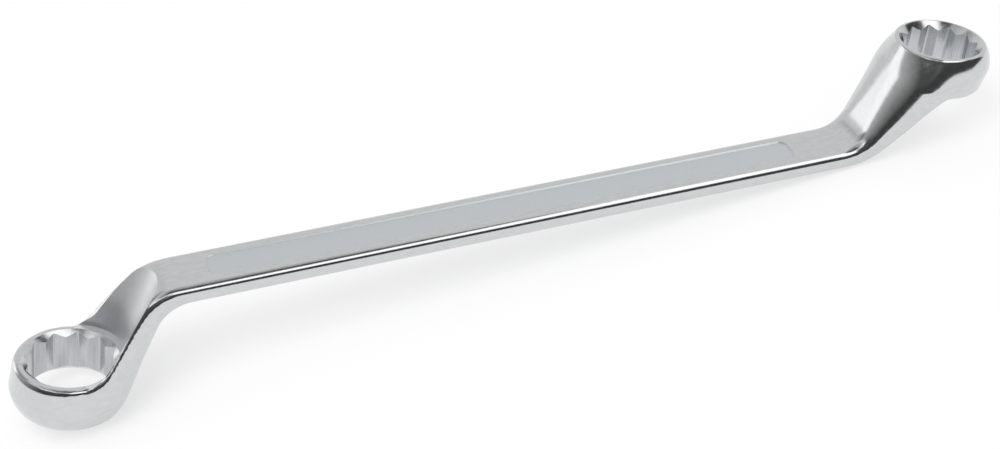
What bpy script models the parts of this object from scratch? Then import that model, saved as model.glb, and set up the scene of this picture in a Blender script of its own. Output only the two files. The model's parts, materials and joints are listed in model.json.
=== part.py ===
"""Offset ring spanner: one steel forging with an S-shaped side view and two twelve-point rings.

The forging is worked out with the shank level and the large ring's centre at the origin, X along the
shank. The last step turns it into the pose in which it lies on a bench and centres it on the origin.
"""
import math

import bmesh
import bpy
from mathutils import Matrix, Vector

# Sizes, in millimetres and degrees
RING_CENTRES = 288.6        # ring centre to ring centre, along the shank
LARGE_LEAN = 9.0            # the rings lean, so the shank rises off the work
SMALL_LEAN = 3.6
LARGE_FLATS = 24.0          # width across flats of the large socket
SMALL_FLATS = 22.0          # width across flats of the small socket
RING_WALL = 4.25            # steel outside the sockets' tips
LARGE_RING_HEIGHT = 15.4
SMALL_RING_HEIGHT = 14.3
LARGE_CRANK = 27.9          # large ring's centre to the shank's middle, upwards
SMALL_CRANK = 27.1          # shank's middle to the small ring's centre, upwards

SHANK_WIDTH = 19.7
SHANK_THICKNESS = 6.3
SHANK_EDGE = 3.0            # rounding of the shank's four long edges

NECK_INNER_SLOPE = 51.0     # hollow side of the neck, against the shank
NECK_OUTER_SLOPE = 62.5     # round side of the neck, against the shank
NECK_FOOT = 0.345           # where the hollow side leaves the ring, in ring radii from its centre
NECK_HEEL = 0.81            # where the round side leaves the ring, in ring radii from its centre
NECK_FOOT_FILLET = 11.0
NECK_HEEL_ROUND = 4.0
NECK_INNER_BEND = 15.0
NECK_OUTER_BEND = 12.0
NECK_INNER_EDGE = 1.1       # rounding of the two edges along the hollow side
NECK_EDGE_END = 0.3         # share of the neck's length in which that rounding comes down from the ring's
NECK_EDGE_RISE = 0.5        # share of the neck's length after which it grows to the shank's
NECK_HOLD = 0.06            # share of the neck's length that keeps the ring's width
NECK_CROWN_WIDTH = 0.88     # share of the half width that the round side's curve takes
NECK_CROWN_DEPTH = 0.66     # share of the neck's thickness that the round side's curve takes
NECK_CROWN_END = 0.45       # share of the neck's length after which the round side flattens
NECK_DISH = 2.0             # depth of the trough along the hollow side
NECK_DISH_FULL = 0.35       # share of the neck's length at which the trough is deepest
NECK_DISH_END = 0.9         # and at which it has faded out
SCOOP_CLEARANCE = 1.2       # the hollow round the socket's mouth stays this far inside the ring's brim
SCOOP_FADE = 12.7           # the hollow runs this much steeper than the neck, so it fades out
NECK_SINK = 0.5             # how far the neck's buried end stays inside the ring's faces
NECK_SIDE_SINK = 0.6        # and inside its side

RING_TAPER = 1.2            # a ring's side comes in by this much towards the hollow side
RING_INNER_EDGE = 2.0       # rounding of a ring's edge on the hollow side
RING_OUTER_EDGE_WIDE = 2.9  # rounding of a ring's edge on the round side, across
RING_OUTER_EDGE_DEEP = 6.0  # and along the ring's axis

SOCKET_POINTS = 12
SOCKET_PHASE = 0.5          # a valley, not a tip, points along the shank
SOCKET_TIP_RELIEF = 0.10    # share of each flank that the flattened tips take off
HOLLOW_MOUTH_OVERSIZE = 0.5 # mouth chamfer's rim beyond the socket's tips, on the hollow side
ROUND_MOUTH_OVERSIZE = 0.85 # and on the round side
MOUTH_LIFT = 0.05           # mouth cutter's start above the ring's face
MOUTH_OVERRUN = 1.0         # mouth cutter's narrow end inside the socket's valleys
HOLLOW_MOUTH_ANGLE = 42.0   # mouth chamfer against the ring's face, on the hollow side
ROUND_MOUTH_ANGLE = 48.0    # and on the round side

LARGE_PANEL_GAP = 6.0       # sunk panel's end to the bend at the large ring
SMALL_PANEL_GAP = 13.5      # and to the bend at the small ring
PANEL_BORDER = 4.55         # sunk panel's sides to the shank's sides
PANEL_DEPTH = 0.4
PANEL_CORNER = 3.0

# Fineness of the curved surfaces
BURIED_STEPS = 2
FILLET_STEPS = 9
SLOPE_STEPS = 8
BEND_STEPS = 11
SHANK_STEPS = 3
EDGE_STEPS = 7
DISH_STEPS = 3
RING_STEPS = 84
SCOOP_STEPS = 72
BARREL_PHASE = 0.31         # turned surfaces start this share of a step round, off the socket's edges
MOUTH_PHASE = 0.23
RING_EDGE_STEPS = 7
CORNER_STEPS = 6

MM = 0.001
REACH = 10.0                # cutters run this far past the steel
WELD = 0.002                # points closer than this are one point

STEEL_COLOUR = (0.62, 0.64, 0.66, 1.0)
STEEL_ROUGHNESS = 0.22
STEEL_METALLIC = 1.0


class Head:
    """One end of the spanner: x towards the shank, z towards the hollow side, ring centre at zero."""

    def __init__(self, flats, height, crank, lean):
        self.tip = flats / math.sqrt(3)
        self.radius = self.tip + RING_WALL
        self.height = height
        self.crank = crank
        self.angle = math.radians(lean)
        self.valley = flats / 2 / math.cos(math.pi / SOCKET_POINTS)
        self.brim = self.radius - RING_TAPER
        self.scoop = self.brim - SCOOP_CLEARANCE
        self.scoop_lean = math.radians(90.0 - NECK_INNER_SLOPE - lean - SCOOP_FADE)

    def lean(self, x, z):
        """A point given against the leaning ring, as a point against the level shank."""
        return Vector((x * math.cos(self.angle) + z * math.sin(self.angle),
                       z * math.cos(self.angle) - x * math.sin(self.angle)))


LARGE = Head(LARGE_FLATS, LARGE_RING_HEIGHT, LARGE_CRANK, LARGE_LEAN)
SMALL = Head(SMALL_FLATS, SMALL_RING_HEIGHT, SMALL_CRANK, SMALL_LEAN)


def rounded(before, corner, after, radius, steps):
    """The arc that rounds the corner between two straight runs, from the first run to the second."""
    back = (before - corner).normalized()
    ahead = (after - corner).normalized()
    half = back.angle(ahead) / 2
    room = min((before - corner).length, (after - corner).length) * math.tan(half)
    radius = min(radius, room)
    centre = corner + (back + ahead).normalized() * (radius / math.sin(half))
    start = corner + back * (radius / math.tan(half)) - centre
    end = corner + ahead * (radius / math.tan(half)) - centre
    return [centre + start.slerp(end, step / steps).normalized() * radius for step in range(steps + 1)]


def run(start, end, steps):
    """Points on the straight from start towards end, without the end point."""
    return [start.lerp(end, step / steps) for step in range(steps)]


def side_profile(head, face, slope, foot, foot_radius, bend_radius):
    """One side of the neck in side view: out of the ring, up the slope, round the bend to the shank."""
    side = math.copysign(1.0, face)
    centre = head.lean(0.0, face - side * NECK_SINK)
    corner = head.lean(foot * head.radius, face)
    level = head.crank + side * SHANK_THICKNESS / 2
    rise = level - corner.y
    bend = corner + Vector((rise / math.tan(math.radians(slope)), rise))
    middle = (corner + bend) / 2
    shank = bend + (bend - middle).length * Vector((1.0, 0.0))
    first = rounded(centre, corner, middle, foot_radius, FILLET_STEPS)
    second = rounded(middle, bend, shank, bend_radius, BEND_STEPS)
    return (run(centre, first[0], BURIED_STEPS) + first[:-1]
            + run(first[-1], second[0], SLOPE_STEPS) + second)


def smooth(share):
    """Ease in and out between zero and one."""
    share = min(max(share, 0.0), 1.0)
    return share * share * (3.0 - 2.0 * share)


def blend(first, second, share):
    return first + (second - first) * share


def section(inner, outer, half_width, taper, edge, dish, crown_width, crown_depth):
    """One cross-section as (x, y, z) points: a trough at the inner point, crowned at the outer one."""
    thickness = (inner - outer).length
    upward = (inner - outer).normalized()
    flat = half_width - taper - edge
    half = []
    for step in range(DISH_STEPS):
        share = step / DISH_STEPS
        half.append((flat * share, thickness - dish * (1.0 - share * share)))
    for step in range(EDGE_STEPS + 1):
        turn = math.pi / 2 * step / EDGE_STEPS
        half.append((flat + edge * math.sin(turn), thickness - edge * (1.0 - math.cos(turn))))
    for step in range(EDGE_STEPS + 1):
        turn = math.pi / 2 * step / EDGE_STEPS
        half.append((half_width - crown_width * (1.0 - math.cos(turn)),
                     crown_depth * (1.0 - math.sin(turn))))
    rim = half[-1][0]
    for step in range(1, DISH_STEPS + 1):
        half.append((rim * (1.0 - step / DISH_STEPS), 0.0))
    loop = half + [(-across, up) for across, up in half[-2:0:-1]]
    points = []
    for across, up in loop:
        spot = outer + upward * up
        points.append(Vector((spot.x, across, spot.y)))
    return points


def head_sections(head):
    """The neck's cross-sections from inside the ring to the start of the shank."""
    inner = side_profile(head, head.height / 2, NECK_INNER_SLOPE, NECK_FOOT, NECK_FOOT_FILLET,
                         NECK_INNER_BEND)
    outer = side_profile(head, -head.height / 2, NECK_OUTER_SLOPE, NECK_HEEL, NECK_HEEL_ROUND,
                         NECK_OUTER_BEND)
    travelled = [0.0]
    for before, after in zip(inner, inner[1:]):
        travelled.append(travelled[-1] + (after - before).length)
    start = travelled[BURIED_STEPS]
    wide = head.radius - NECK_SIDE_SINK
    sections = []
    for top, bottom, along in zip(inner, outer, travelled):
        share = (along - start) / (travelled[-1] - start)
        eased = smooth((share - NECK_HOLD) / (1.0 - NECK_HOLD))
        flatter = smooth((share - NECK_CROWN_END) / (1.0 - NECK_CROWN_END))
        half_width = blend(wide, SHANK_WIDTH / 2, eased)
        thickness = (top - bottom).length
        narrower = smooth(share / NECK_EDGE_END)
        rounder = smooth((share - NECK_EDGE_RISE) / (1.0 - NECK_EDGE_RISE))
        edge = blend(blend(RING_INNER_EDGE, NECK_INNER_EDGE, narrower), SHANK_EDGE, rounder)
        taper = blend(RING_TAPER, 0.0, narrower)
        fading = smooth((share - NECK_DISH_FULL) / (NECK_DISH_END - NECK_DISH_FULL))
        dish = NECK_DISH * smooth(share / NECK_DISH_FULL) * (1.0 - fading)
        crown_width = blend(NECK_CROWN_WIDTH * half_width, SHANK_EDGE, flatter)
        crown_depth = blend(NECK_CROWN_DEPTH * thickness, SHANK_EDGE, flatter)
        sections.append(section(top, bottom, half_width, taper, edge, dish, crown_width, crown_depth))
    return sections


def small_end(point):
    """A point of the small head, given as if it were the left end, put in its place."""
    return Vector((RING_CENTRES - point.x, point.y, LARGE_CRANK + SMALL_CRANK - point.z))


def flipped(points):
    """The same cross-section counted from its other side, to match a head that is turned over."""
    count = len(points)
    return [points[(count // 2 - index) % count] for index in range(count)]


def forging_mesh():
    """Neck, shank and neck as one loft through cross-sections of the same point count."""
    left = head_sections(LARGE)
    right = [flipped([small_end(point) for point in loop]) for loop in head_sections(SMALL)]
    right.reverse()
    shank = []
    for step in range(1, SHANK_STEPS):
        share = step / SHANK_STEPS
        shank.append([first.lerp(second, share) for first, second in zip(left[-1], right[0])])
    loops = left + shank + right
    bm = bmesh.new()
    rows = [[bm.verts.new(point * MM) for point in loop] for loop in loops]
    for lower, upper in zip(rows, rows[1:]):
        for index in range(len(lower)):
            after = (index + 1) % len(lower)
            bm.faces.new((lower[index], lower[after], upper[after], upper[index]))
    bm.faces.new(rows[0])
    bm.faces.new(reversed(rows[-1]))
    bmesh.ops.recalc_face_normals(bm, faces=bm.faces[:])
    mesh = bpy.data.meshes.new("spanner_forging")
    bm.to_mesh(mesh)
    bm.free()
    return mesh


def make(name, mesh, collection, frame):
    thing = bpy.data.objects.new(name, mesh)
    thing.matrix_world = frame
    collection.objects.link(thing)
    return thing


def scaled(frame):
    """A frame given in millimetres, in metres."""
    frame = frame.copy()
    frame.translation = frame.translation * MM
    return frame


def stepped(phase):
    """A turn about the ring's axis by a share of one step of its fineness."""
    return Matrix.Rotation(2.0 * math.pi * phase / RING_STEPS, 4, "Z")


def ring_barrel(name, head, collection, frame):
    """The ring's outside, turned from its half section: small edge on top, taper, large edge below."""
    radius = head.radius
    top = head.height / 2
    spots = [(0.0, top)]
    for step in range(RING_EDGE_STEPS + 1):
        turn = math.pi / 2 * step / RING_EDGE_STEPS
        spots.append((head.brim - RING_INNER_EDGE * (1.0 - math.sin(turn)),
                      top - RING_INNER_EDGE * (1.0 - math.cos(turn))))
    for step in range(RING_EDGE_STEPS + 1):
        turn = math.pi / 2 * step / RING_EDGE_STEPS
        spots.append((radius - RING_OUTER_EDGE_WIDE * (1.0 - math.cos(turn)),
                      RING_OUTER_EDGE_DEEP * (1.0 - math.sin(turn)) - top))
    spots.append((0.0, -top))
    bm = bmesh.new()
    dots = [bm.verts.new((across * MM, 0.0, up * MM)) for across, up in spots]
    for before, after in zip(dots, dots[1:]):
        bm.edges.new((before, after))
    mesh = bpy.data.meshes.new(name)
    bm.to_mesh(mesh)
    bm.free()
    thing = make(name, mesh, collection, frame @ stepped(BARREL_PHASE))
    screw = thing.modifiers.new("turn", "SCREW")
    screw.axis = "Z"
    screw.angle = 2.0 * math.pi
    screw.steps = RING_STEPS
    screw.render_steps = RING_STEPS
    screw.use_merge_vertices = True
    screw.merge_threshold = WELD * MM
    screw.use_smooth_shade = True
    return thing


def outline_solid(name, spots, height, collection, frame):
    """A flat outline raised to a solid, half its height above and half below its plane."""
    curve = bpy.data.curves.new(name, "CURVE")
    curve.dimensions = "2D"
    curve.fill_mode = "BOTH"
    curve.extrude = height / 2 * MM
    spline = curve.splines.new("POLY")
    spline.points.add(len(spots) - 1)
    for dot, (across, along) in zip(spline.points, spots):
        dot.co = (across * MM, along * MM, 0.0, 1.0)
    spline.use_cyclic_u = True
    drawn = bpy.data.objects.new(name, curve)
    collection.objects.link(drawn)
    mesh = bpy.data.meshes.new_from_object(drawn)
    bpy.data.objects.remove(drawn)
    bpy.data.curves.remove(curve)
    bm = bmesh.new()
    bm.from_mesh(mesh)
    bmesh.ops.remove_doubles(bm, verts=bm.verts[:], dist=WELD * MM)
    bmesh.ops.recalc_face_normals(bm, faces=bm.faces[:])
    bm.to_mesh(mesh)
    bm.free()
    return make(name, mesh, collection, frame)


def socket_outline(head):
    """Twelve-point outline: two hexagons on one centre, their twelve tips flattened."""
    spots = []
    pitch = 2.0 * math.pi / SOCKET_POINTS
    for point in range(SOCKET_POINTS):
        angle = pitch * (point + SOCKET_PHASE)
        tip = Vector((math.cos(angle), math.sin(angle))) * head.tip
        for side in (-1.0, 1.0):
            turn = angle + side * pitch / 2
            valley = Vector((math.cos(turn), math.sin(turn))) * head.valley
            relieved = tip.lerp(valley, SOCKET_TIP_RELIEF)
            spots.append(relieved)
            if side > 0.0:
                spots.append(valley)
    return spots


def cone(name, wide, narrow, height, collection, frame, steps):
    """A cone or cylinder standing on its wide end at the frame's origin."""
    bm = bmesh.new()
    bmesh.ops.create_cone(bm, cap_ends=True, cap_tris=False, segments=steps, radius1=wide * MM,
                          radius2=narrow * MM, depth=height * MM,
                          matrix=Matrix.Translation((0.0, 0.0, height / 2 * MM)))
    mesh = bpy.data.meshes.new(name)
    bm.to_mesh(mesh)
    bm.free()
    return make(name, mesh, collection, frame)


def mouth_cutter(name, head, oversize, angle, collection, frame):
    """Cone that chamfers a socket's mouth, drawn from outside the face down to the socket's valleys."""
    slope = 1.0 / math.tan(math.radians(angle))
    wide = head.tip + oversize + MOUTH_LIFT * slope
    narrow = head.valley - MOUTH_OVERRUN
    height = (wide - narrow) / slope
    standing = Matrix.Translation((0.0, 0.0, (head.height / 2 + MOUTH_LIFT) * MM))
    turned = Matrix.Rotation(math.pi, 4, "X")
    placed = frame @ standing @ turned @ stepped(MOUTH_PHASE)
    return cone(name, wide, narrow, height, collection, placed, RING_STEPS)


def scoop_cutter(name, head, collection, frame):
    """Slanting cylinder on the ring's axis that hollows the neck around the socket's mouth."""
    height = head.crank + head.height / 2 + REACH
    tool = cone(name, head.scoop, head.scoop, height, collection, frame, SCOOP_STEPS)
    slant = Matrix.Identity(4)
    slant[0][2] = math.tan(head.scoop_lean)
    slant[0][3] = -head.height / 2 * MM * math.tan(head.scoop_lean)
    tool.data.transform(slant)
    return tool


def shank_start(head):
    """Where the shank's straight begins, from the ring's centre."""
    return max(point.x for point in head_sections(head)[-1])


def panel_outline():
    """Rounded rectangle of the shank's sunk panel, between the two bends."""
    left = shank_start(LARGE) + LARGE_PANEL_GAP + PANEL_CORNER
    right = RING_CENTRES - shank_start(SMALL) - SMALL_PANEL_GAP - PANEL_CORNER
    side = SHANK_WIDTH / 2 - PANEL_BORDER - PANEL_CORNER
    spots = []
    for quarter, corner in enumerate(((right, side), (left, side), (left, -side), (right, -side))):
        for step in range(CORNER_STEPS + 1):
            turn = math.pi / 2 * (quarter + step / CORNER_STEPS)
            spots.append((corner[0] + PANEL_CORNER * math.cos(turn),
                          corner[1] + PANEL_CORNER * math.sin(turn)))
    return spots


def combine(thing, tool, operation):
    cut = thing.modifiers.new(tool.name, "BOOLEAN")
    cut.operation = operation
    cut.object = tool
    cut.solver = "EXACT"


def settle(thing, everything):
    """Turn and lift the whole build so the part lies on the bench, its box centred on the origin."""
    bpy.context.view_layer.update()
    drawn = thing.evaluated_get(bpy.context.evaluated_depsgraph_get())
    spots = [thing.matrix_world @ vertex.co for vertex in drawn.data.vertices]
    balance = sum(spot.x for spot in spots) / len(spots)
    hull = []
    for spot in sorted((spot.x, spot.z) for spot in spots):
        while len(hull) > 1:
            (ax, az), (bx, bz) = hull[-2], hull[-1]
            if (bx - ax) * (spot[1] - az) - (bz - az) * (spot[0] - ax) > 0.0:
                break
            hull.pop()
        hull.append(spot)
    lean = 0.0
    for (ax, az), (bx, bz) in zip(hull, hull[1:]):
        if ax <= balance <= bx:
            lean = math.atan2(bz - az, bx - ax)
    turn = Matrix.Rotation(lean, 4, "Y")
    turned = [turn @ spot for spot in spots]
    middle = (min(spot.x for spot in turned) + max(spot.x for spot in turned)) / 2
    floor = min(spot.z for spot in turned)
    place = Matrix.Translation((-middle, 0.0, -floor)) @ turn
    for other in everything:
        other.matrix_world = place @ other.matrix_world
    bpy.context.view_layer.update()


def steel():
    material = bpy.data.materials.new("satin_chrome")
    material.use_nodes = True
    shader = material.node_tree.nodes["Principled BSDF"]
    shader.inputs["Base Color"].default_value = STEEL_COLOUR
    shader.inputs["Roughness"].default_value = STEEL_ROUGHNESS
    shader.inputs["Metallic"].default_value = STEEL_METALLIC
    material.diffuse_color = STEEL_COLOUR
    return material


def main():
    for thing in list(bpy.data.objects):
        bpy.data.objects.remove(thing)
    parts = bpy.data.collections.new("offset_ring_spanner")
    tools = bpy.data.collections.new("cutters")
    bpy.context.scene.collection.children.link(parts)
    bpy.context.scene.collection.children.link(tools)

    level = Matrix.Identity(4)
    over = Matrix.Rotation(math.pi, 4, "Y")
    top = Vector((RING_CENTRES, 0.0, LARGE_CRANK + SMALL_CRANK))
    lean = Matrix.Rotation(LARGE.angle, 4, "Y")
    other = scaled(Matrix.Translation(top)) @ over @ Matrix.Rotation(SMALL.angle, 4, "Y")
    frames = ((LARGE, "large", lean), (SMALL, "small", other))

    forging = make("spanner_forging", forging_mesh(), parts, level)
    forging.data.materials.append(steel())
    made = []
    for head, name, frame in frames:
        tool = scoop_cutter(name + "_scoop", head, tools, frame)
        combine(forging, tool, "DIFFERENCE")
        made.append(tool)
    for head, name, frame in frames:
        tool = ring_barrel(name + "_barrel", head, tools, frame)
        combine(forging, tool, "UNION")
        made.append(tool)
    for head, name, frame in frames:
        tool = outline_solid(name + "_socket", socket_outline(head), head.height + REACH, tools, frame)
        combine(forging, tool, "DIFFERENCE")
        made.append(tool)
        mouths = (("hollow", HOLLOW_MOUTH_OVERSIZE, HOLLOW_MOUTH_ANGLE, level),
                  ("round", ROUND_MOUTH_OVERSIZE, ROUND_MOUTH_ANGLE, over))
        for side, oversize, angle, turn in mouths:
            tool = mouth_cutter(name + "_mouth_" + side, head, oversize, angle, tools, frame @ turn)
            combine(forging, tool, "DIFFERENCE")
            made.append(tool)
    for name, side in (("panel_top", 1.0), ("panel_below", -1.0)):
        height = REACH
        lift = LARGE_CRANK + side * (SHANK_THICKNESS / 2 - PANEL_DEPTH + height / 2)
        spot = Matrix.Translation(Vector((0.0, 0.0, lift)))
        tool = outline_solid(name, panel_outline(), height, tools, scaled(spot))
        combine(forging, tool, "DIFFERENCE")
        made.append(tool)

    for tool in made:
        tool.hide_render = True
        tool.display_type = "WIRE"
    settle(forging, [forging] + made)


main()
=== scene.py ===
import json
import math

import bmesh
import bpy
import numpy as np
from mathutils import Matrix, Vector


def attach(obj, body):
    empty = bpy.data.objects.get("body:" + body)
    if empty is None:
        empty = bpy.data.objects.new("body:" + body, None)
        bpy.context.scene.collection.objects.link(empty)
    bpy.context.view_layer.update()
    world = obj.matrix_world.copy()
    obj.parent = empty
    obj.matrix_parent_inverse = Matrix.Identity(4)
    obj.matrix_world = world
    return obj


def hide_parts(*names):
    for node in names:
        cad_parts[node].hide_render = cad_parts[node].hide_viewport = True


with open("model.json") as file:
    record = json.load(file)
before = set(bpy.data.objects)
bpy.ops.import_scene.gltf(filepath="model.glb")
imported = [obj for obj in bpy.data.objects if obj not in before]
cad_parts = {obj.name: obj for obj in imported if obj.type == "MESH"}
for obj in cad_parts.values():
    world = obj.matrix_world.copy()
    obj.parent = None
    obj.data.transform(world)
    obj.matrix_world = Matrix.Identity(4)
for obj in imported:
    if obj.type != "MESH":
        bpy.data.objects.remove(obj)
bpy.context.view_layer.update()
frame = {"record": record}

# Sizes that the CAD forging has too, in millimetres and degrees
RING_CENTRES = 288.6        # ring centre to ring centre, along the shank
LARGE_LEAN = 9.0            # the rings lean, so the shank rises off the work
SMALL_LEAN = 3.6
LARGE_FLATS = 24.0          # width across flats of the large socket
SMALL_FLATS = 22.0          # width across flats of the small socket
RING_WALL = 4.25            # steel outside the sockets' tips
LARGE_RING_HEIGHT = 15.4
SMALL_RING_HEIGHT = 14.3
LARGE_CRANK = 27.9          # large ring's centre to the shank's middle, upwards
SMALL_CRANK = 27.1          # shank's middle to the small ring's centre, upwards

SHANK_WIDTH = 19.7
SHANK_THICKNESS = 6.3
SHANK_EDGE = 3.0            # rounding of the shank's four long edges

NECK_INNER_SLOPE = 51.0     # hollow side of the neck, against the shank
NECK_OUTER_SLOPE = 62.5     # round side of the neck, against the shank
NECK_HEEL = 0.81            # where the round side leaves the ring, in ring radii from its centre
NECK_INNER_BEND = 15.0
NECK_OUTER_BEND = 12.0
NECK_INNER_EDGE = 1.1       # rounding of the two edges along the hollow side
NECK_EDGE_END = 0.3         # share of the neck's length in which that rounding comes down from the ring's
NECK_EDGE_RISE = 0.5        # share of the neck's length after which it grows to the shank's
NECK_HOLD = 0.06            # share of the neck's length that keeps the ring's width
NECK_CROWN_WIDTH = 0.88     # share of the half width that the round side's curve takes
NECK_CROWN_DEPTH = 0.66     # share of the neck's thickness that the round side's curve takes
NECK_CROWN_END = 0.45       # share of the neck's length after which the round side flattens
NECK_SINK = 0.5             # how far the neck's buried end stays inside the ring's faces
NECK_DISH = 2.0             # depth of the trough along the hollow side
NECK_DISH_FULL = 0.35       # share of the neck's length at which the trough is deepest
NECK_DISH_END = 0.9         # and at which it has faded out

RING_TAPER = 1.2            # a ring's side comes in by this much towards the hollow side
RING_INNER_EDGE = 2.0       # rounding of a ring's edge on the hollow side
RING_OUTER_EDGE_WIDE = 2.9  # rounding of a ring's edge on the round side, across

SOCKET_POINTS = 12
SOCKET_PHASE = 0.5          # a valley, not a tip, points along the shank
SOCKET_TIP_RELIEF = 0.10    # share of each flank that the flattened tips take off
HOLLOW_MOUTH_OVERSIZE = 0.5  # mouth chamfer's rim beyond the socket's tips, on the hollow side
ROUND_MOUTH_OVERSIZE = 0.85  # and on the round side
MOUTH_OVERRUN = 1.0         # mouth cutter's narrow end inside the socket's valleys
HOLLOW_MOUTH_ANGLE = 42.0   # mouth chamfer against the ring's face, on the hollow side
ROUND_MOUTH_ANGLE = 48.0    # and on the round side

LARGE_PANEL_GAP = 6.0       # sunk panel's end to the bend at the large ring
SMALL_PANEL_GAP = 13.5      # and to the bend at the small ring
PANEL_BORDER = 4.55         # sunk panel's sides to the shank's sides
PANEL_DEPTH = 0.4
PANEL_CORNER = 3.0

# Sizes of the finished surface, which the plainer CAD forging lacks or has a little different
LARGE_NECK_FOOT = 0.345     # where the hollow side leaves the ring, in ring radii from its centre
SMALL_NECK_FOOT = 0.45
LARGE_FOOT_FILLET = 11.0
SMALL_FOOT_FILLET = 16.0
NECK_HEEL_ROUND = 2.0
NECK_SIDE_SINK = 0.25       # how far the neck's buried end stays inside the ring's side
NECK_FOOT_WIDTH = 0.92      # the crown's shares of half width and thickness at the ring
NECK_FOOT_DEPTH = 0.6
SCOOP_CLEARANCE = 0.2       # the hollow round the socket's mouth stays this far inside the ring's brim
SCOOP_FADE = 13.4           # the hollow runs this much steeper than the neck, so it fades out
SCOOP_LIFT = 0.014          # hollow's floor above the ring's face
RING_OUTER_EDGE_DEEP = 6.5  # rounding of a ring's edge on the round side, along the ring's axis
RING_OUTER_EDGE_POWER = 1.6  # below 2, which is an ellipse, so the flank stays straighter
SOCKET_ROUND = 0.35         # rounding of the socket's corners
MOUTH_ROUND = 0.25          # rounding of the mouth chamfer's rim
MOUTH_LIFT = 1.0            # mouth cutter's start above the ring's face
PANEL_SLOPE = 0.5           # width of the sunk panel's sloping side
SKIN = 0.03                 # the finished surface stays this far inside the forging's

# Smoothing where a neck meets its ring, in millimetres from the ring's centre, x towards the shank
BLEND_RADIUS = 40.0         # nothing in the blend is hollower than this
BLEND_RIM = 1.0             # the blend starts this far inside the ring's brim
BLEND_REACH = 2.0           # and ends at this many ring radii
BLEND_TOP = 0.3             # it keeps this far below the face of the hollow side
JOINT_MIDDLE = 4.0          # where a neck's side leaves its ring
JOINT_FULL = 4.0            # the sides are evened out fully this far each way from there
JOINT_END = 12.0            # and not at all beyond this
JOINT_SIDE = 0.6            # only beyond this share of the ring's radius, across
JOINT_FADE = 2.0
JOINT_POWER = 4             # how strongly the evening runs along the shank
JOINT_LEAST = 0.001
HEEL_START = -3.0           # the heel is smoothed from here on
HEEL_FULL = 9.0             # and fully from here
HEEL_TOP = 3.0              # only below this, above the ring's middle
HEEL_RIM = 1.0              # from this far inside the ring's brim
HEEL_REACH = 8.0            # to this far outside the ring
HEEL_FADE = 4.0

# Grain of the finishes, along, across and up
POLISH = (3.3, 1.4, 1.4)
GRINDING = (2.0, 0.4, 2.0)
BLASTING = (0.28, 0.28, 0.28)
BROACHING = (0.7, 0.7, 14.0)
GRAIN_DETAIL = 3.0
GRAIN_TINT = (0.35, 0.65)   # levels of the grain that get the darker and the lighter colour
GRAIN_GLOSS = (0.3, 0.7)    # and the least and the most roughness

# Finishes: darker and lighter colour, least and most roughness, grain and depth of its relief
FINISHES = {
    "satin_chrome": ((0.60, 0.615, 0.62), (0.64, 0.655, 0.66), (0.13, 0.19), POLISH, 0.003),
    # The hollow's finish: a rougher ground grain, and a colour lighter than the satin chrome, which is
    # painted light that brightens the hollow's reflections
    "ground_chrome_painted_lighter": ((0.78, 0.795, 0.805), (0.84, 0.855, 0.865), (0.33, 0.43), GRINDING, 0.002),
    "matt_panel": ((0.61, 0.64, 0.655), (0.67, 0.70, 0.715), (0.34, 0.46), BLASTING, 0.012),
    "turned_chrome": ((0.58, 0.595, 0.60), (0.64, 0.655, 0.66), (0.15, 0.22), POLISH, 0.002),
    "socket_steel": ((0.50, 0.515, 0.53), (0.60, 0.615, 0.63), (0.18, 0.30), BROACHING, 0.010),
}

# Fineness of the curved surfaces
BURIED_STEPS = 4
FILLET_STEPS = 24
SLOPE_STEPS = 18
BEND_STEPS = 28
SHANK_STEPS = 3
EDGE_STEPS = 14
DISH_STEPS = 8
RING_STEPS = 240
BARREL_PHASE = 0.31         # turned surfaces start this share of a step round, off the socket's edges
MOUTH_PHASE = 0.23
RING_EDGE_STEPS = 14
SOCKET_ROUND_STEPS = 4
MOUTH_ROUND_STEPS = 5
CORNER_STEPS = 10
VOXEL = 0.5
SLIVER = 0.0005             # faces thinner than this are taken out
SHARP_ANGLE = 20.0          # cuts have a sharp edge where they turn by more than this

# Rounds of smoothing
SMOOTH_ROUNDS = 36
JOINT_ROUNDS = 80
BLEND_ROUNDS = 300
NORMAL_ROUNDS = 4           # surface directions are renewed after this many rounds of the blend
HEEL_ROUNDS = 200
LAST_ROUNDS = 4
SMOOTH_SHARE = 0.5          # how far a point moves towards its neighbours' mean in one round
SWELL_SHARE = -0.53         # and away from it again, so that long curves keep their size

MM = 0.001
REACH = 10.0                # cutters run this far past the steel
WHITE = (1.0, 1.0, 1.0, 1.0)

# The photograph's camera, in degrees and millimetres against the level shank's middle
IMAGE_WIDTH = 1000.0        # pixels
CAMERA_PIXELS = 1601.0      # focal length in those pixels
CAMERA_DISTANCE = 504.05
CAMERA_AZIMUTH = 18.614
CAMERA_ELEVATION = 35.292
CAMERA_ROLL = -0.522
CAMERA_RIGHT = -7.02
CAMERA_UP = -4.151
CAMERA_NEAR = 0.01          # metres

# The studio, in metres
FLOOR_SIZE = 6.0
FLOOR_COLOUR = 0.9
FLOOR_GLOW = 0.6            # share of plain white in the floor as the camera and the metal see it
WORLD_LIGHT = 0.8
WORLD_SEEN = 0.82
LAMP_ENERGY = 8.0
LAMP_SIZE = 0.8
LAMP_PLACE = (-0.3, -0.5, 1.2)
CARD_DISTANCE = 1.5
CARD_TURN_STEPS = 48
CARD_RISE_STEPS = 12

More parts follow.
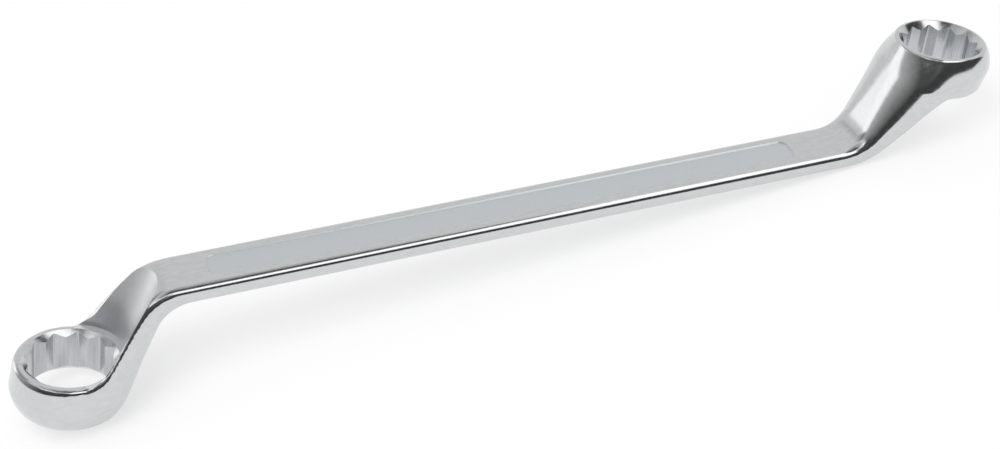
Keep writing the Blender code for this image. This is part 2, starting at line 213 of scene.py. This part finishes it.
# Cards that only the polished metal sees: first and last azimuth, elevation and level
CARDS = {
    "card_dark_front": ((204.0, 360.0), (0.0, 28.0), (0.06, 0.06)),
    "card_dark_left": ((204.0, 271.0), (28.0, 56.0), (0.09, 0.09)),
    "card_dark_right": ((271.0, 360.0), (28.0, 38.0), (0.06, 0.06)),
    "card_dark_above": ((235.0, 355.0), (63.0, 84.0), (0.1, 0.1)),
    "card_dark_back": ((100.0, 146.0), (35.0, 60.0), (0.8, 0.14)),
    "card_soft_front": ((271.0, 355.0), (38.0, 62.0), (1.7, 1.7)),
    "card_soft_left": ((200.0, 271.0), (56.0, 62.0), (1.7, 1.7)),
    "card_bright_left": ((127.0, 146.0), (0.0, 30.0), (1.5, 1.5)),
    "card_grey_left": ((146.0, 175.0), (0.0, 56.0), (0.6, 0.3)),
    "card_dim_left": ((175.0, 204.0), (0.0, 56.0), (0.3, 0.09)),
    "card_ceiling": ((0.0, 360.0), (84.0, 89.9), (0.3, 0.3)),
    "card_ceiling_back": ((-5.0, 235.0), (70.0, 84.0), (0.55, 0.55)),
}


class Head:
    """One end of the spanner: x towards the shank, z towards the hollow side, ring centre at zero."""

    def __init__(self, flats, height, crank, lean, foot, fillet):
        self.tip = flats / math.sqrt(3)
        self.radius = self.tip + RING_WALL
        self.height = height
        self.crank = crank
        self.foot = foot
        self.fillet = fillet
        self.angle = math.radians(lean)
        self.valley = flats / 2 / math.cos(math.pi / SOCKET_POINTS)
        self.brim = self.radius - RING_TAPER
        self.scoop = self.brim - SCOOP_CLEARANCE
        self.scoop_lean = math.radians(90.0 - NECK_INNER_SLOPE - lean - SCOOP_FADE)

    def lean(self, x, z):
        """A point given against the leaning ring, as a point against the level shank."""
        return Vector((x * math.cos(self.angle) + z * math.sin(self.angle),
                       z * math.cos(self.angle) - x * math.sin(self.angle)))


LARGE = Head(LARGE_FLATS, LARGE_RING_HEIGHT, LARGE_CRANK, LARGE_LEAN, LARGE_NECK_FOOT, LARGE_FOOT_FILLET)
SMALL = Head(SMALL_FLATS, SMALL_RING_HEIGHT, SMALL_CRANK, SMALL_LEAN, SMALL_NECK_FOOT, SMALL_FOOT_FILLET)
SMALL_CENTRE = Vector((RING_CENTRES, 0.0, LARGE_CRANK + SMALL_CRANK))

# Each head with the place of its ring. The small head is the large one's kind, turned over
OVER = Matrix.Rotation(math.pi, 4, "Y")
FRAMES = ((LARGE, Matrix.Rotation(LARGE.angle, 4, "Y")),
          (SMALL, Matrix.Translation(SMALL_CENTRE) @ OVER @ Matrix.Rotation(SMALL.angle, 4, "Y")))


def rounded(before, corner, after, radius, steps):
    """The arc that rounds the corner between two straight runs, from the first run to the second."""
    back = (before - corner).normalized()
    ahead = (after - corner).normalized()
    half = back.angle(ahead) / 2
    room = min((before - corner).length, (after - corner).length) * math.tan(half)
    radius = min(radius, room)
    centre = corner + (back + ahead).normalized() * (radius / math.sin(half))
    start = corner + back * (radius / math.tan(half)) - centre
    end = corner + ahead * (radius / math.tan(half)) - centre
    return [centre + start.slerp(end, step / steps).normalized() * radius for step in range(steps + 1)]


def run(start, end, steps):
    """Points on the straight from start towards end, without the end point."""
    return [start.lerp(end, step / steps) for step in range(steps)]


def smooth(share):
    """Ease in and out between zero and one."""
    share = min(max(share, 0.0), 1.0)
    return share * share * (3.0 - 2.0 * share)


def blend(first, second, share):
    """The value that lies this share of the way from the first to the second."""
    return first + (second - first) * share


def circle(radius, height, phase=0.0):
    """A circle of points about the z axis."""
    turns = [2.0 * math.pi * (step + phase) / RING_STEPS for step in range(RING_STEPS)]
    return [(radius * math.cos(turn), radius * math.sin(turn), height) for turn in turns]


def add(name, data):
    """A new object in the scene."""
    thing = bpy.data.objects.new(name, data)
    bpy.context.scene.collection.objects.link(thing)
    return thing


def add_mesh(name, bm, material=None):
    """A new object in the scene that takes its mesh over from a bmesh."""
    mesh = bpy.data.meshes.new(name)
    bm.to_mesh(mesh)
    bm.free()
    if material:
        mesh.materials.append(material)
    return add(name, mesh)


def skin(name, loops, place=Matrix.Identity(4), material=None):
    """A closed solid through loops of the same point count, put in its place."""
    bm = bmesh.new()
    rows = [[bm.verts.new(place @ Vector(point)) for point in loop] for loop in loops]
    for lower, upper in zip(rows, rows[1:]):
        for index in range(len(lower)):
            after = (index + 1) % len(lower)
            bm.faces.new((lower[index], lower[after], upper[after], upper[index]))
    bm.faces.new(rows[0])
    bm.faces.new(reversed(rows[-1]))
    bmesh.ops.recalc_face_normals(bm, faces=bm.faces[:])
    return add_mesh(name, bm, material)


def side_profile(head, face, slope, foot, foot_radius, bend_radius):
    """One side of the neck in side view: out of the ring, up the slope, round the bend to the shank."""
    side = math.copysign(1.0, face)
    centre = head.lean(0.0, face - side * NECK_SINK)
    corner = head.lean(foot * head.radius, face)
    level = head.crank + side * SHANK_THICKNESS / 2
    rise = level - corner.y
    bend = corner + Vector((rise / math.tan(math.radians(slope)), rise))
    middle = (corner + bend) / 2
    shank = bend + (bend - middle).length * Vector((1.0, 0.0))
    first = rounded(centre, corner, middle, foot_radius, FILLET_STEPS)
    second = rounded(middle, bend, shank, bend_radius, BEND_STEPS)
    return (run(centre, first[0], BURIED_STEPS) + first[:-1]
            + run(first[-1], second[0], SLOPE_STEPS) + second)


def section(inner, outer, half_width, taper, edge, dish, crown_width, crown_depth):
    """One cross-section as (x, y, z) points: a trough at the inner point, crowned at the outer one."""
    thickness = (inner - outer).length
    upward = (inner - outer).normalized()
    flat = half_width - taper - edge
    half = []
    for step in range(DISH_STEPS):
        share = step / DISH_STEPS
        half.append((flat * share, thickness - dish * (1.0 - share * share)))
    for step in range(EDGE_STEPS + 1):
        turn = math.pi / 2 * step / EDGE_STEPS
        half.append((flat + edge * math.sin(turn), thickness - edge * (1.0 - math.cos(turn))))
    for step in range(EDGE_STEPS + 1):
        turn = math.pi / 2 * step / EDGE_STEPS
        half.append((half_width - crown_width * (1.0 - math.cos(turn)),
                     crown_depth * (1.0 - math.sin(turn))))
    rim = half[-1][0]
    for step in range(1, DISH_STEPS + 1):
        half.append((rim * (1.0 - step / DISH_STEPS), 0.0))
    loop = half + [(-across, up) for across, up in half[-2:0:-1]]
    points = []
    for across, up in loop:
        spot = outer + upward * up
        points.append(Vector((spot.x, across, spot.y)))
    return points


def head_sections(head):
    """The neck's cross-sections from inside the ring to the start of the shank."""
    inner = side_profile(head, head.height / 2, NECK_INNER_SLOPE, head.foot, head.fillet,
                         NECK_INNER_BEND)
    outer = side_profile(head, -head.height / 2, NECK_OUTER_SLOPE, NECK_HEEL, NECK_HEEL_ROUND,
                         NECK_OUTER_BEND)
    travelled = [0.0]
    for before, after in zip(inner, inner[1:]):
        travelled.append(travelled[-1] + (after - before).length)
    start = travelled[BURIED_STEPS]
    wide = head.radius - NECK_SIDE_SINK
    sections = []
    for top, bottom, along in zip(inner, outer, travelled):
        share = (along - start) / (travelled[-1] - start)
        eased = smooth((share - NECK_HOLD) / (1.0 - NECK_HOLD))
        flatter = smooth((share - NECK_CROWN_END) / (1.0 - NECK_CROWN_END))
        half_width = blend(wide, SHANK_WIDTH / 2, eased)
        thickness = (top - bottom).length
        narrower = smooth(share / NECK_EDGE_END)
        rounder = smooth((share - NECK_EDGE_RISE) / (1.0 - NECK_EDGE_RISE))
        edge = blend(blend(RING_INNER_EDGE, NECK_INNER_EDGE, narrower), SHANK_EDGE, rounder)
        taper = blend(RING_TAPER, 0.0, narrower)
        fading = smooth((share - NECK_DISH_FULL) / (NECK_DISH_END - NECK_DISH_FULL))
        dish = NECK_DISH * smooth(share / NECK_DISH_FULL) * (1.0 - fading)
        crown_width = blend(NECK_FOOT_WIDTH, NECK_CROWN_WIDTH, narrower) * half_width
        crown_width = blend(crown_width, SHANK_EDGE, flatter)
        crown_depth = blend(NECK_FOOT_DEPTH, NECK_CROWN_DEPTH, narrower) * thickness
        crown_depth = blend(crown_depth, SHANK_EDGE, flatter)
        sections.append(section(top, bottom, half_width, taper, edge, dish, crown_width, crown_depth))
    return sections


def shank_start(head):
    """Where the shank's straight begins, from the ring's centre."""
    return max(point.x for point in head_sections(head)[-1])


PANEL_LEFT = shank_start(LARGE) + LARGE_PANEL_GAP
PANEL_RIGHT = RING_CENTRES - shank_start(SMALL) - SMALL_PANEL_GAP


def small_end(point):
    """A point of the small head, given as if it were the left end, put in its place."""
    return Vector((RING_CENTRES - point.x, point.y, LARGE_CRANK + SMALL_CRANK - point.z))


def flipped(points):
    """The same cross-section counted from its other side, to match a head that is turned over."""
    count = len(points)
    return [points[(count // 2 - index) % count] for index in range(count)]


def neck_and_shank():
    """Neck, shank and neck as one loft."""
    left = head_sections(LARGE)
    right = [flipped([small_end(point) for point in loop]) for loop in head_sections(SMALL)]
    right.reverse()
    shank = []
    for step in range(1, SHANK_STEPS):
        share = step / SHANK_STEPS
        shank.append([first.lerp(second, share) for first, second in zip(left[-1], right[0])])
    return skin("forged_spanner", left + shank + right)


def barrel(head, place):
    """The ring's outside: small edge on top, taper, and a large edge with a straight flank below."""
    top = head.height / 2
    power = 2.0 / RING_OUTER_EDGE_POWER
    spots = []
    for step in range(RING_EDGE_STEPS + 1):
        turn = math.pi / 2 * step / RING_EDGE_STEPS
        spots.append((head.brim - RING_INNER_EDGE * (1.0 - math.sin(turn)),
                      top - RING_INNER_EDGE * (1.0 - math.cos(turn))))
    for step in range(RING_EDGE_STEPS + 1):
        turn = math.pi / 2 * step / RING_EDGE_STEPS
        across = max(math.cos(turn), 0.0) ** power
        spots.append((head.radius - RING_OUTER_EDGE_WIDE * (1.0 - across),
                      RING_OUTER_EDGE_DEEP * (1.0 - math.sin(turn) ** power) - top))
    return skin("barrel", [circle(radius, height, BARREL_PHASE) for radius, height in spots], place)


def scoop(head, place, material):
    """Slanting cylinder on the ring's axis that hollows the neck around the socket's mouth."""
    top = head.crank + head.height / 2 + REACH
    slant = math.tan(head.scoop_lean)
    loops = []
    for height in (head.height / 2 + SCOOP_LIFT, top):
        shift = (height - head.height / 2) * slant
        loops.append([(x + shift, y, z) for x, y, z in circle(head.scoop, height)])
    return skin("scoop", loops, place, material)


def socket(head, place, material):
    """Twelve-point cutter: two hexagons on one centre, with flattened tips and rounded corners."""
    pitch = 2.0 * math.pi / SOCKET_POINTS
    corners = []
    for point in range(SOCKET_POINTS):
        angle = pitch * (point + SOCKET_PHASE)
        tip = Vector((math.cos(angle), math.sin(angle))) * head.tip
        turn = angle + pitch / 2
        valley = Vector((math.cos(turn), math.sin(turn))) * head.valley
        earlier = Vector((math.cos(turn - pitch), math.sin(turn - pitch))) * head.valley
        corners += [tip.lerp(earlier, SOCKET_TIP_RELIEF), tip.lerp(valley, SOCKET_TIP_RELIEF), valley]
    outline = []
    for index, corner in enumerate(corners):
        before = (corners[index - 1] + corner) / 2
        after = (corners[(index + 1) % len(corners)] + corner) / 2
        outline += rounded(before, corner, after, SOCKET_ROUND, SOCKET_ROUND_STEPS)
    high = head.height / 2 + REACH
    loops = [[(spot.x, spot.y, height) for spot in outline] for height in (-high, high)]
    return skin("socket", loops, place, material)


def mouth(head, oversize, angle, place, material):
    """Turned cutter of a socket's mouth: a chamfer with a rounded rim."""
    lean = math.radians(angle)
    top = head.height / 2
    centre = head.tip + oversize + MOUTH_ROUND * math.tan(lean / 2)
    spots = [(centre, top + MOUTH_LIFT)]
    for step in range(MOUTH_ROUND_STEPS + 1):
        turn = lean * step / MOUTH_ROUND_STEPS
        spots.append((centre - MOUTH_ROUND * math.sin(turn),
                      top - MOUTH_ROUND * (1.0 - math.cos(turn))))
    narrow = head.valley - MOUTH_OVERRUN
    spots.append((narrow, spots[-1][1] - (spots[-1][0] - narrow) * math.tan(lean)))
    loops = [circle(radius, height, MOUTH_PHASE) for radius, height in spots]
    return skin("mouth", loops, place, material)


def panel(side, material):
    """Cutter of the sunk panel in the shank's upper or lower face, with sloping sides."""
    across = SHANK_WIDTH / 2 - PANEL_BORDER - PANEL_CORNER
    left = PANEL_LEFT + PANEL_CORNER
    right = PANEL_RIGHT - PANEL_CORNER
    face = SHANK_THICKNESS / 2
    corners = ((right, across), (left, across), (left, -across), (right, -across))
    loops = []
    for grown, depth in ((-PANEL_SLOPE, PANEL_DEPTH), (0.0, 0.0), (PANEL_SLOPE, -PANEL_DEPTH)):
        radius = PANEL_CORNER + grown
        height = LARGE_CRANK + side * (face - depth)
        loop = []
        for quarter, (x, y) in enumerate(corners):
            for step in range(CORNER_STEPS + 1):
                turn = math.pi / 2 * (quarter + step / CORNER_STEPS)
                loop.append((x + radius * math.cos(turn), y + radius * math.sin(turn), height))
        loops.append(loop)
    return skin("panel", loops, material=material)


def settle(thing):
    """Replaces a thing's mesh by what its modifiers make of it."""
    graph = bpy.context.evaluated_depsgraph_get()
    mesh = bpy.data.meshes.new_from_object(thing.evaluated_get(graph))
    thing.modifiers.clear()
    thing.data = mesh


def combine(thing, tools, operation):
    """Joins or cuts, and leaves the result as the thing's own mesh."""
    for tool in tools:
        step = thing.modifiers.new(tool.name, "BOOLEAN")
        step.operation = operation
        step.object = tool
        step.solver = "MANIFOLD"
        step.material_mode = "TRANSFER"
    settle(thing)
    for tool in tools:
        bpy.data.objects.remove(tool)


def points_and_edges(mesh):
    """A mesh's points, and the pairs of points that its edges join."""
    spots = np.empty(len(mesh.vertices) * 3)
    mesh.vertices.foreach_get("co", spots)
    edges = np.empty(len(mesh.edges) * 2, np.int64)
    mesh.edges.foreach_get("vertices", edges)
    return spots.reshape(-1, 3), edges.reshape(-1, 2)


def neighbours_mean(spots, edges, weight):
    """The weighted mean of each point's neighbours."""
    total = np.empty_like(spots)
    for axis in range(3):
        total[:, axis] = np.bincount(edges[:, 0], spots[edges[:, 1], axis] * weight, len(spots))
        total[:, axis] += np.bincount(edges[:, 1], spots[edges[:, 0], axis] * weight, len(spots))
    count = np.bincount(edges[:, 0], weight, len(spots)) + np.bincount(edges[:, 1], weight, len(spots))
    return total / count[:, None]


def even_out(spots, edges, weight, rounds, where=1.0):
    """Takes short waves out of the surface and leaves long ones."""
    for step in range(rounds):
        for share in (SMOOTH_SHARE, SWELL_SHARE):
            spots += share * where * (neighbours_mean(spots, edges, weight) - spots)


def ramp(values, start, end):
    """Each value as a share of the way from start to end, at least nought and at most one."""
    return np.clip((values - start) / (end - start), 0.0, 1.0)


def zones(spots):
    """Which points the blend takes, and how much the joint's evening and the heel's smoothing take each."""
    blended = np.zeros(len(spots), bool)
    joint = np.zeros(len(spots))
    heel = np.zeros(len(spots))
    for head, place in FRAMES:
        back = place.inverted()
        local = spots @ np.array(back.to_3x3()).T + np.array(back.translation)
        along, across, up = local.T
        flat = np.hypot(along, across)
        blended |= ((flat < BLEND_REACH * head.radius) & (flat > head.brim - BLEND_RIM)
                    & (up < head.height / 2 - BLEND_TOP))
        lengthwise = ramp(np.abs(along - JOINT_MIDDLE), JOINT_END, JOINT_FULL)
        side = JOINT_SIDE * head.radius
        sideways = ramp(np.abs(across), side, side + JOINT_FADE)
        joint = np.maximum(joint, lengthwise * sideways)
        onward = ramp(along, HEEL_START, HEEL_FULL)
        below = ramp(up, HEEL_TOP, HEEL_TOP - HEEL_FADE)
        end = head.radius + HEEL_REACH
        outside = ramp(flat, head.brim - HEEL_RIM, head.brim) * ramp(flat, end, end - HEEL_FADE)
        heel = np.maximum(heel, onward * below * outside)
    return blended, joint, heel


def fill_dents(mesh, spots, edges, where):
    """Raises what is hollower than the blend's radius, and returns the surface's outward directions."""
    even = np.ones(len(edges))
    normals = np.empty(len(spots) * 3)
    # Of a point's four neighbours, one voxel away, two lie across the hollow
    allowed = VOXEL * VOXEL / 4 / BLEND_RADIUS
    for step in range(BLEND_ROUNDS):
        if step % NORMAL_ROUNDS == 0:
            mesh.vertices.foreach_set("co", spots.ravel())
            mesh.update()
            mesh.vertices.foreach_get("normal", normals)
            outward = normals.reshape(-1, 3)
        dent = ((neighbours_mean(spots, edges, even) - spots) * outward).sum(1) - allowed
        spots += np.where(where & (dent > 0.0), SMOOTH_SHARE * dent, 0.0)[:, None] * outward
    return outward


def soften(mesh):
    """Evens the surface out, then fills the sharp hollow line between each neck and its ring."""
    spots, edges = points_and_edges(mesh)
    even = np.ones(len(edges))
    even_out(spots, edges, even, SMOOTH_ROUNDS)
    blended, joint, heel = zones(spots)
    lengthwise = (spots[edges[:, 0], 0] - spots[edges[:, 1], 0]) / VOXEL
    even_out(spots, edges, lengthwise ** JOINT_POWER + JOINT_LEAST, JOINT_ROUNDS, joint[:, None])
    outward = fill_dents(mesh, spots, edges, blended)
    for step in range(HEEL_ROUNDS):
        spots += SMOOTH_SHARE * heel[:, None] * (neighbours_mean(spots, edges, even) - spots)
    even_out(spots, edges, even, LAST_ROUNDS)
    spots -= SKIN * outward
    mesh.vertices.foreach_set("co", spots.ravel())
    mesh.update()


def mark_edges(mesh):
    """Smooth shading, with sharp edges where one finish meets another or a cut has a corner."""
    mesh.shade_smooth()
    bm = bmesh.new()
    bm.from_mesh(mesh)
    bmesh.ops.dissolve_degenerate(bm, edges=bm.edges[:], dist=SLIVER)
    bmesh.ops.dissolve_verts(bm, verts=[vert for vert in bm.verts if len(vert.link_edges) == 2])
    for edge in bm.edges:
        if len(edge.link_faces) == 2:
            one, other = edge.link_faces
            if one.material_index != other.material_index:
                edge.smooth = False
            elif one.material_index:
                edge.smooth = edge.calc_face_angle() < math.radians(SHARP_ANGLE)
    bm.to_mesh(mesh)
    bm.free()


def metal(name, lean=0.0):
    """Bare or plated steel whose grain shows in its colour, its gloss and its relief."""
    darker, lighter, roughness, grain, depth = FINISHES[name]
    material = bpy.data.materials.new(name)
    material.use_nodes = True
    tree = material.node_tree
    shader = tree.nodes["Principled BSDF"]
    shader.inputs["Metallic"].default_value = 1.0
    coordinates = tree.nodes.new("ShaderNodeTexCoord")
    stretch = tree.nodes.new("ShaderNodeMapping")
    stretch.vector_type = "TEXTURE"
    stretch.inputs["Scale"].default_value = [size * MM for size in grain]
    stretch.inputs["Rotation"].default_value = (0.0, lean, 0.0)
    tree.links.new(coordinates.outputs["Object"], stretch.inputs["Vector"])
    noise = tree.nodes.new("ShaderNodeTexNoise")
    noise.inputs["Scale"].default_value = 1.0
    noise.inputs["Detail"].default_value = GRAIN_DETAIL
    tree.links.new(stretch.outputs["Vector"], noise.inputs["Vector"])
    tint = tree.nodes.new("ShaderNodeValToRGB")
    for stop, level, colour in zip(tint.color_ramp.elements, GRAIN_TINT, (darker, lighter)):
        stop.position = level
        stop.color = (*colour, 1.0)
    tree.links.new(noise.outputs["Fac"], tint.inputs["Fac"])
    tree.links.new(tint.outputs["Color"], shader.inputs["Base Color"])
    gloss = tree.nodes.new("ShaderNodeMapRange")
    gloss.inputs["From Min"].default_value = GRAIN_GLOSS[0]
    gloss.inputs["From Max"].default_value = GRAIN_GLOSS[1]
    gloss.inputs["To Min"].default_value = roughness[0]
    gloss.inputs["To Max"].default_value = roughness[1]
    tree.links.new(noise.outputs["Fac"], gloss.inputs["Value"])
    tree.links.new(gloss.outputs["Result"], shader.inputs["Roughness"])
    relief = tree.nodes.new("ShaderNodeBump")
    relief.inputs["Distance"].default_value = depth * MM
    tree.links.new(noise.outputs["Fac"], relief.inputs["Height"])
    tree.links.new(relief.outputs["Normal"], shader.inputs["Normal"])
    return material


def row_place():
    """From the level shank, in millimetres, to the resting part, in metres: read from the panel's mount."""
    mount = next(m for m in frame["record"]["mounts"] if m["name"] == "shank_panel_top")
    axis = Vector(mount["axis"])
    turn = Matrix.Rotation(math.atan2(axis.x, axis.z), 4, "Y")
    middle = Vector(((PANEL_LEFT + PANEL_RIGHT) / 2, 0.0,
                     LARGE_CRANK + SHANK_THICKNESS / 2 - PANEL_DEPTH))
    return Matrix.Translation(Vector(mount["pos_m"]) - turn @ (middle * MM)) @ turn @ Matrix.Scale(MM, 4)


def spanner():
    """The forging: lofted and smoothed as one body, then cut by its hollows, sockets and panels."""
    chrome = metal("satin_chrome")
    # The hollow's ground finish, coloured lighter than the chrome as painted light that brightens the
    # hollow
    ground_painted_lighter = metal("ground_chrome_painted_lighter")
    matt = metal("matt_panel")
    turned = metal("turned_chrome")
    place_in_row = row_place()
    tilt = place_in_row.to_euler().y
    body = neck_and_shank()
    combine(body, [barrel(head, place) for head, place in FRAMES], "UNION")
    remesh = body.modifiers.new("voxels", "REMESH")
    remesh.mode = "VOXEL"
    remesh.voxel_size = VOXEL
    settle(body)
    soften(body.data)
    body.data.materials.clear()
    body.data.materials.append(chrome)
    for head, place in FRAMES:
        cut_steel = metal("socket_steel", tilt + head.angle)
        tools = [scoop(head, place, ground_painted_lighter), socket(head, place, cut_steel)]
        tools.append(mouth(head, HOLLOW_MOUTH_OVERSIZE, HOLLOW_MOUTH_ANGLE, place, turned))
        tools.append(mouth(head, ROUND_MOUTH_OVERSIZE, ROUND_MOUTH_ANGLE, place @ OVER, turned))
        combine(body, tools, "DIFFERENCE")
    combine(body, [panel(side, matt) for side in (1.0, -1.0)], "DIFFERENCE")
    mark_edges(body.data)
    body.data.transform(place_in_row)
    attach(body, "root")
    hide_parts("spanner_forging")


def camera():
    """The camera at the photograph's angle."""
    azimuth = math.radians(CAMERA_AZIMUTH)
    elevation = math.radians(CAMERA_ELEVATION)
    back = Vector((-math.sin(azimuth) * math.cos(elevation), -math.cos(azimuth) * math.cos(elevation),
                   math.sin(elevation)))
    level = Vector((math.cos(azimuth), -math.sin(azimuth), 0.0))
    roll = Matrix.Rotation(math.radians(CAMERA_ROLL), 3, back)
    right = roll @ level
    up = back.cross(right)
    place = row_place()
    spot = SMALL_CENTRE / 2 + back * CAMERA_DISTANCE + right * CAMERA_RIGHT + up * CAMERA_UP
    turn = (place.to_3x3() * (1.0 / MM)) @ Matrix((right, up, back)).transposed()
    data = bpy.data.cameras.new("camera")
    data.lens = CAMERA_PIXELS / IMAGE_WIDTH * data.sensor_width
    data.clip_start = CAMERA_NEAR
    thing = add("camera", data)
    thing.matrix_world = Matrix.Translation(place @ spot) @ turn.to_4x4()
    bpy.context.scene.camera = thing


def greater(tree, first, second):
    """The greater of two node outputs."""
    node = tree.nodes.new("ShaderNodeMath")
    node.operation = "MAXIMUM"
    tree.links.new(first, node.inputs[0])
    tree.links.new(second, node.inputs[1])
    return node.outputs[0]


def seen_ray(tree):
    """One where a ray comes from the camera, from metal or through glass, else nought."""
    path = tree.nodes.new("ShaderNodeLightPath")
    seen = greater(tree, path.outputs["Is Camera Ray"], path.outputs["Is Glossy Ray"])
    return greater(tree, seen, path.outputs["Is Transmission Ray"])


def mixed(tree, share, first, second, output):
    """Sends a mix of two shaders to a new output node."""
    mix = tree.nodes.new("ShaderNodeMixShader")
    tree.links.new(share, mix.inputs[0])
    tree.links.new(first.outputs[0], mix.inputs[1])
    tree.links.new(second.outputs[0], mix.inputs[2])
    out = tree.nodes.new(output)
    tree.links.new(mix.outputs[0], out.inputs[0])


def floor():
    """A plain pale floor that keeps the part's shadow."""
    material = bpy.data.materials.new("floor")
    material.use_nodes = True
    tree = material.node_tree
    tree.nodes.clear()
    matt = tree.nodes.new("ShaderNodeBsdfDiffuse")
    matt.inputs["Color"].default_value = (FLOOR_COLOUR, FLOOR_COLOUR, FLOOR_COLOUR, 1.0)
    glow = tree.nodes.new("ShaderNodeEmission")
    glow.inputs["Strength"].default_value = 1.0
    share = tree.nodes.new("ShaderNodeMath")
    share.operation = "MULTIPLY"
    tree.links.new(seen_ray(tree), share.inputs[0])
    share.inputs[1].default_value = FLOOR_GLOW
    mixed(tree, share.outputs[0], matt, glow, "ShaderNodeOutputMaterial")
    half = FLOOR_SIZE / 2
    corners = ((-half, -half), (half, -half), (half, half), (-half, half))
    bm = bmesh.new()
    bm.faces.new([bm.verts.new((x, y, 0.0)) for x, y in corners])
    return add_mesh("floor", bm, material)


def card_material(name, levels):
    """Plain light of one level, or of the level that is stored with the card's points."""
    material = bpy.data.materials.new(name)
    material.use_nodes = True
    tree = material.node_tree
    tree.nodes.clear()
    glow = tree.nodes.new("ShaderNodeEmission")
    glow.inputs["Strength"].default_value = levels[0]
    if levels[0] != levels[1]:
        fading = tree.nodes.new("ShaderNodeAttribute")
        fading.attribute_name = "level"
        tree.links.new(fading.outputs["Fac"], glow.inputs["Strength"])
    out = tree.nodes.new("ShaderNodeOutputMaterial")
    tree.links.new(glow.outputs[0], out.inputs[0])
    return material


def card(name, turns, rises, levels):
    """A curved card around the part, even or fading from one end to the other."""
    bm = bmesh.new()
    rows = []
    for step in range(CARD_RISE_STEPS + 1):
        rise = math.radians(blend(*rises, step / CARD_RISE_STEPS))
        row = []
        for stop in range(CARD_TURN_STEPS + 1):
            turn = math.radians(blend(*turns, stop / CARD_TURN_STEPS))
            level = Vector((math.cos(turn), math.sin(turn), 0.0))
            spot = level * math.cos(rise) + Vector((0.0, 0.0, math.sin(rise)))
            row.append(bm.verts.new(spot * CARD_DISTANCE))
        rows.append(row)
    for low, high in zip(rows, rows[1:]):
        for index in range(CARD_TURN_STEPS):
            bm.faces.new((low[index], low[index + 1], high[index + 1], high[index]))
    thing = add_mesh(name, bm, card_material(name, levels))
    stored = thing.data.attributes.new("level", "FLOAT", "POINT")
    for index, value in enumerate(stored.data):
        stop = index % (CARD_TURN_STEPS + 1)
        value.value = blend(*levels, stop / CARD_TURN_STEPS)
    thing.visible_camera = False
    thing.visible_diffuse = False
    thing.visible_shadow = False
    return thing


def backdrop():
    """A pale world, a little lighter to the eye than the light that it gives."""
    world = bpy.data.worlds.new("studio")
    world.use_nodes = True
    tree = world.node_tree
    tree.nodes.clear()
    light = tree.nodes.new("ShaderNodeBackground")
    light.inputs["Color"].default_value = WHITE
    light.inputs["Strength"].default_value = WORLD_LIGHT
    seen = tree.nodes.new("ShaderNodeBackground")
    seen.inputs["Color"].default_value = WHITE
    seen.inputs["Strength"].default_value = WORLD_SEEN
    mixed(tree, seen_ray(tree), light, seen, "ShaderNodeOutputWorld")
    bpy.context.scene.world = world


def key_lamp():
    """A soft lamp over the part, which gives it its faint shadow."""
    lamp = bpy.data.lights.new("key", "AREA")
    lamp.energy = LAMP_ENERGY
    lamp.size = LAMP_SIZE
    thing = add("key", lamp)
    thing.location = LAMP_PLACE
    thing.rotation_euler = (-thing.location).to_track_quat("-Z", "Y").to_euler()
    thing.visible_glossy = False


def studio():
    """Floor, backdrop, cards and lamp."""
    backdrop()
    things = [floor()] + [card(name, *values) for name, values in CARDS.items()]
    key_lamp()


spanner()
camera()
studio()
bpy.context.scene.view_settings.view_transform = "Standard"
